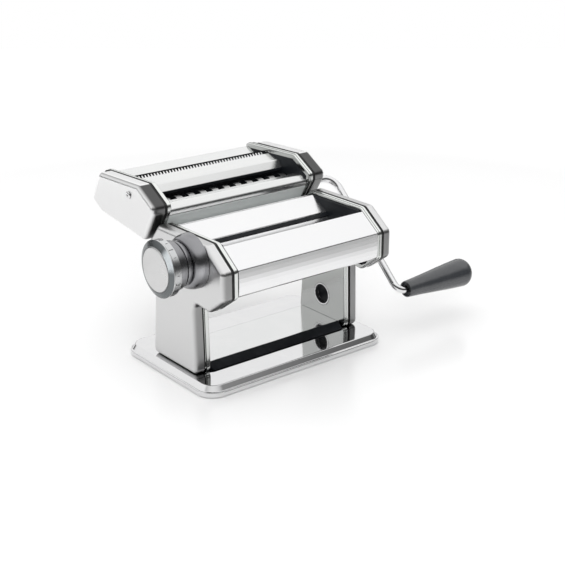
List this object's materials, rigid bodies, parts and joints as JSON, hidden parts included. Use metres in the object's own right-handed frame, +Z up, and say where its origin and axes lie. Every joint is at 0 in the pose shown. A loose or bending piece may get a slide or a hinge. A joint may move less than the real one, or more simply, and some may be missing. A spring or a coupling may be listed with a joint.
{
  "type": "pasta machine",
  "caption": "Hand-cranked pasta machine with a thickness dial, dough rollers and a lift-off cutter attachment for wide and fine noodles.",
  "frame": {"origin": "middle of the whole machine's footprint on the table, crank and knob included", "axes": "+X towards the crank along the rollers, +Y to the rear where the cutter attachment hangs, +Z up"},
  "size_m": [0.3464, 0.1968, 0.1612],
  "materials": {
    "polished_steel": "mirror-polished stainless steel sheet",
    "satin_steel": "satin steel",
    "dark_chrome": "dark polished metal",
    "dark_grey_metal": "brushed dark grey",
    "roller_metal": "satin roller metal",
    "gear_steel": "machined steel",
    "black_rubber": "matte rubber",
    "black_plastic": "smooth black plastic",
    "handle_plastic": "satin dark grey plastic"
  },
  "bodies": {
    "stand": {"base_plate": "polished_steel", "foot_front_left": "black_rubber", "foot_front_right": "black_rubber", "foot_rear_left": "black_rubber", "foot_rear_right": "black_rubber", "tray": "polished_steel", "tray_strip": "black_plastic", "frame_left": "polished_steel", "frame_right": "polished_steel", "gasket_left": "black_rubber", "gasket_right": "black_rubber", "side_cover_left": "satin_steel", "side_cover_right": "satin_steel", "cheek_left": "black_plastic", "cheek_right": "black_plastic", "front_cover": "polished_steel", "rear_cover": "polished_steel", "dough_guide": "polished_steel", "clamp_bush": "black_plastic", "tie_rod_front": "polished_steel", "tie_rod_rear": "polished_steel", "tie_rod_top": "polished_steel", "scraper_front": "satin_steel", "scraper_rear": "satin_steel", "mount_rail": "satin_steel", "knob_boss": "dark_chrome"},
    "rear_roller": {"rear_roller": "roller_metal", "rear_roller_gear": "gear_steel"},
    "roller_carrier": {"bearing_block_left": "black_plastic", "bearing_block_right": "black_plastic"},
    "front_roller": {"front_roller": "roller_metal", "front_roller_gear": "gear_steel"},
    "regulator": {"regulator_shaft": "gear_steel", "regulator_cam": "black_plastic"},
    "knob": {"knob_hub": "dark_chrome", "number_ring": "satin_steel", "knob_ring": "dark_grey_metal", "knob_cap": "satin_steel"},
    "attachment": {"cutter_frame_left": "polished_steel", "cutter_frame_right": "polished_steel", "cutter_gasket_left": "black_rubber", "cutter_gasket_right": "black_rubber", "cutter_cover_left": "satin_steel", "cutter_cover_right": "satin_steel", "cutter_screw_left": "polished_steel", "cutter_screw_right": "polished_steel", "cutter_sheet_rear": "polished_steel", "cutter_sheet_middle": "polished_steel", "cutter_sheet_front": "polished_steel", "cutter_sheet_lower": "satin_steel", "cutter_hanger": "satin_steel", "cutter_tie_upper": "polished_steel", "cutter_tie_lower": "polished_steel"},
    "wide_front": {"wide_cutter_front": "roller_metal"},
    "wide_rear": {"wide_cutter_rear": "roller_metal"},
    "fine_front": {"fine_cutter_front": "roller_metal"},
    "fine_rear": {"fine_cutter_rear": "roller_metal"},
    "crank": {"crank_rod": "polished_steel"},
    "handle": {"crank_handle": "handle_plastic"}
  },
  "joints": [
    {"name": "regulator_turn", "type": "hinge", "parent": "stand", "child": "regulator", "pos_m": [-0.1443, -0.05739, 0.115], "axis": [1, 0, 0], "range_deg": [0, 288]},
    {"name": "knob_pull", "type": "slide", "parent": "regulator", "child": "knob", "axis": [-1, 0, 0], "range_m": [0, 0.004], "stiffness_N_per_m": 800, "springref_m": -0.001},
    {"name": "roller_gap", "type": "slide", "parent": "stand", "child": "roller_carrier", "axis": [0, 1, 0], "range_m": [0, 0.0024]},
    {"name": "rear_roller_spin", "type": "hinge", "parent": "stand", "child": "rear_roller", "pos_m": [-0.0443, -0.02239, 0.103], "axis": [1, 0, 0], "continuous": true},
    {"name": "front_roller_spin", "type": "hinge", "parent": "roller_carrier", "child": "front_roller", "pos_m": [-0.0443, -0.05739, 0.103], "axis": [1, 0, 0], "continuous": true},
    {"name": "attachment_lift", "type": "slide", "parent": "stand", "child": "attachment", "axis": [0, 0, 1], "range_m": [0, 0.02]},
    {"name": "wide_cutter_spin", "type": "hinge", "parent": "attachment", "child": "wide_front", "pos_m": [-0.0443, 0.01811, 0.1312], "axis": [1, 0, 0], "continuous": true},
    {"name": "wide_mate_spin", "type": "hinge", "parent": "attachment", "child": "wide_rear", "pos_m": [-0.0443, 0.03311, 0.1312], "axis": [1, 0, 0], "continuous": true},
    {"name": "fine_cutter_spin", "type": "hinge", "parent": "attachment", "child": "fine_front", "pos_m": [-0.0443, 0.06161, 0.139], "axis": [1, 0, 0], "continuous": true},
    {"name": "fine_mate_spin", "type": "hinge", "parent": "attachment", "child": "fine_rear", "pos_m": [-0.0443, 0.07441, 0.139], "axis": [1, 0, 0], "continuous": true},
    {"name": "crank_pull", "type": "slide", "parent": "wide_front", "child": "crank", "axis": [1, 0, 0], "range_m": [0, 0.006]},
    {"name": "handle_spin", "type": "hinge", "parent": "crank", "child": "handle", "pos_m": [0.0957, -0.07676, 0.04086], "axis": [1, 0, 0], "continuous": true}
  ],
  "couplings": [
    {"joint": "roller_gap", "follows": "regulator_turn", "m_per_rad": 0.000477},
    {"joint": "front_roller_spin", "follows": "rear_roller_spin", "ratio": -1},
    {"joint": "wide_mate_spin", "follows": "wide_cutter_spin", "ratio": -1},
    {"joint": "fine_mate_spin", "follows": "fine_cutter_spin", "ratio": -1}
  ]
}
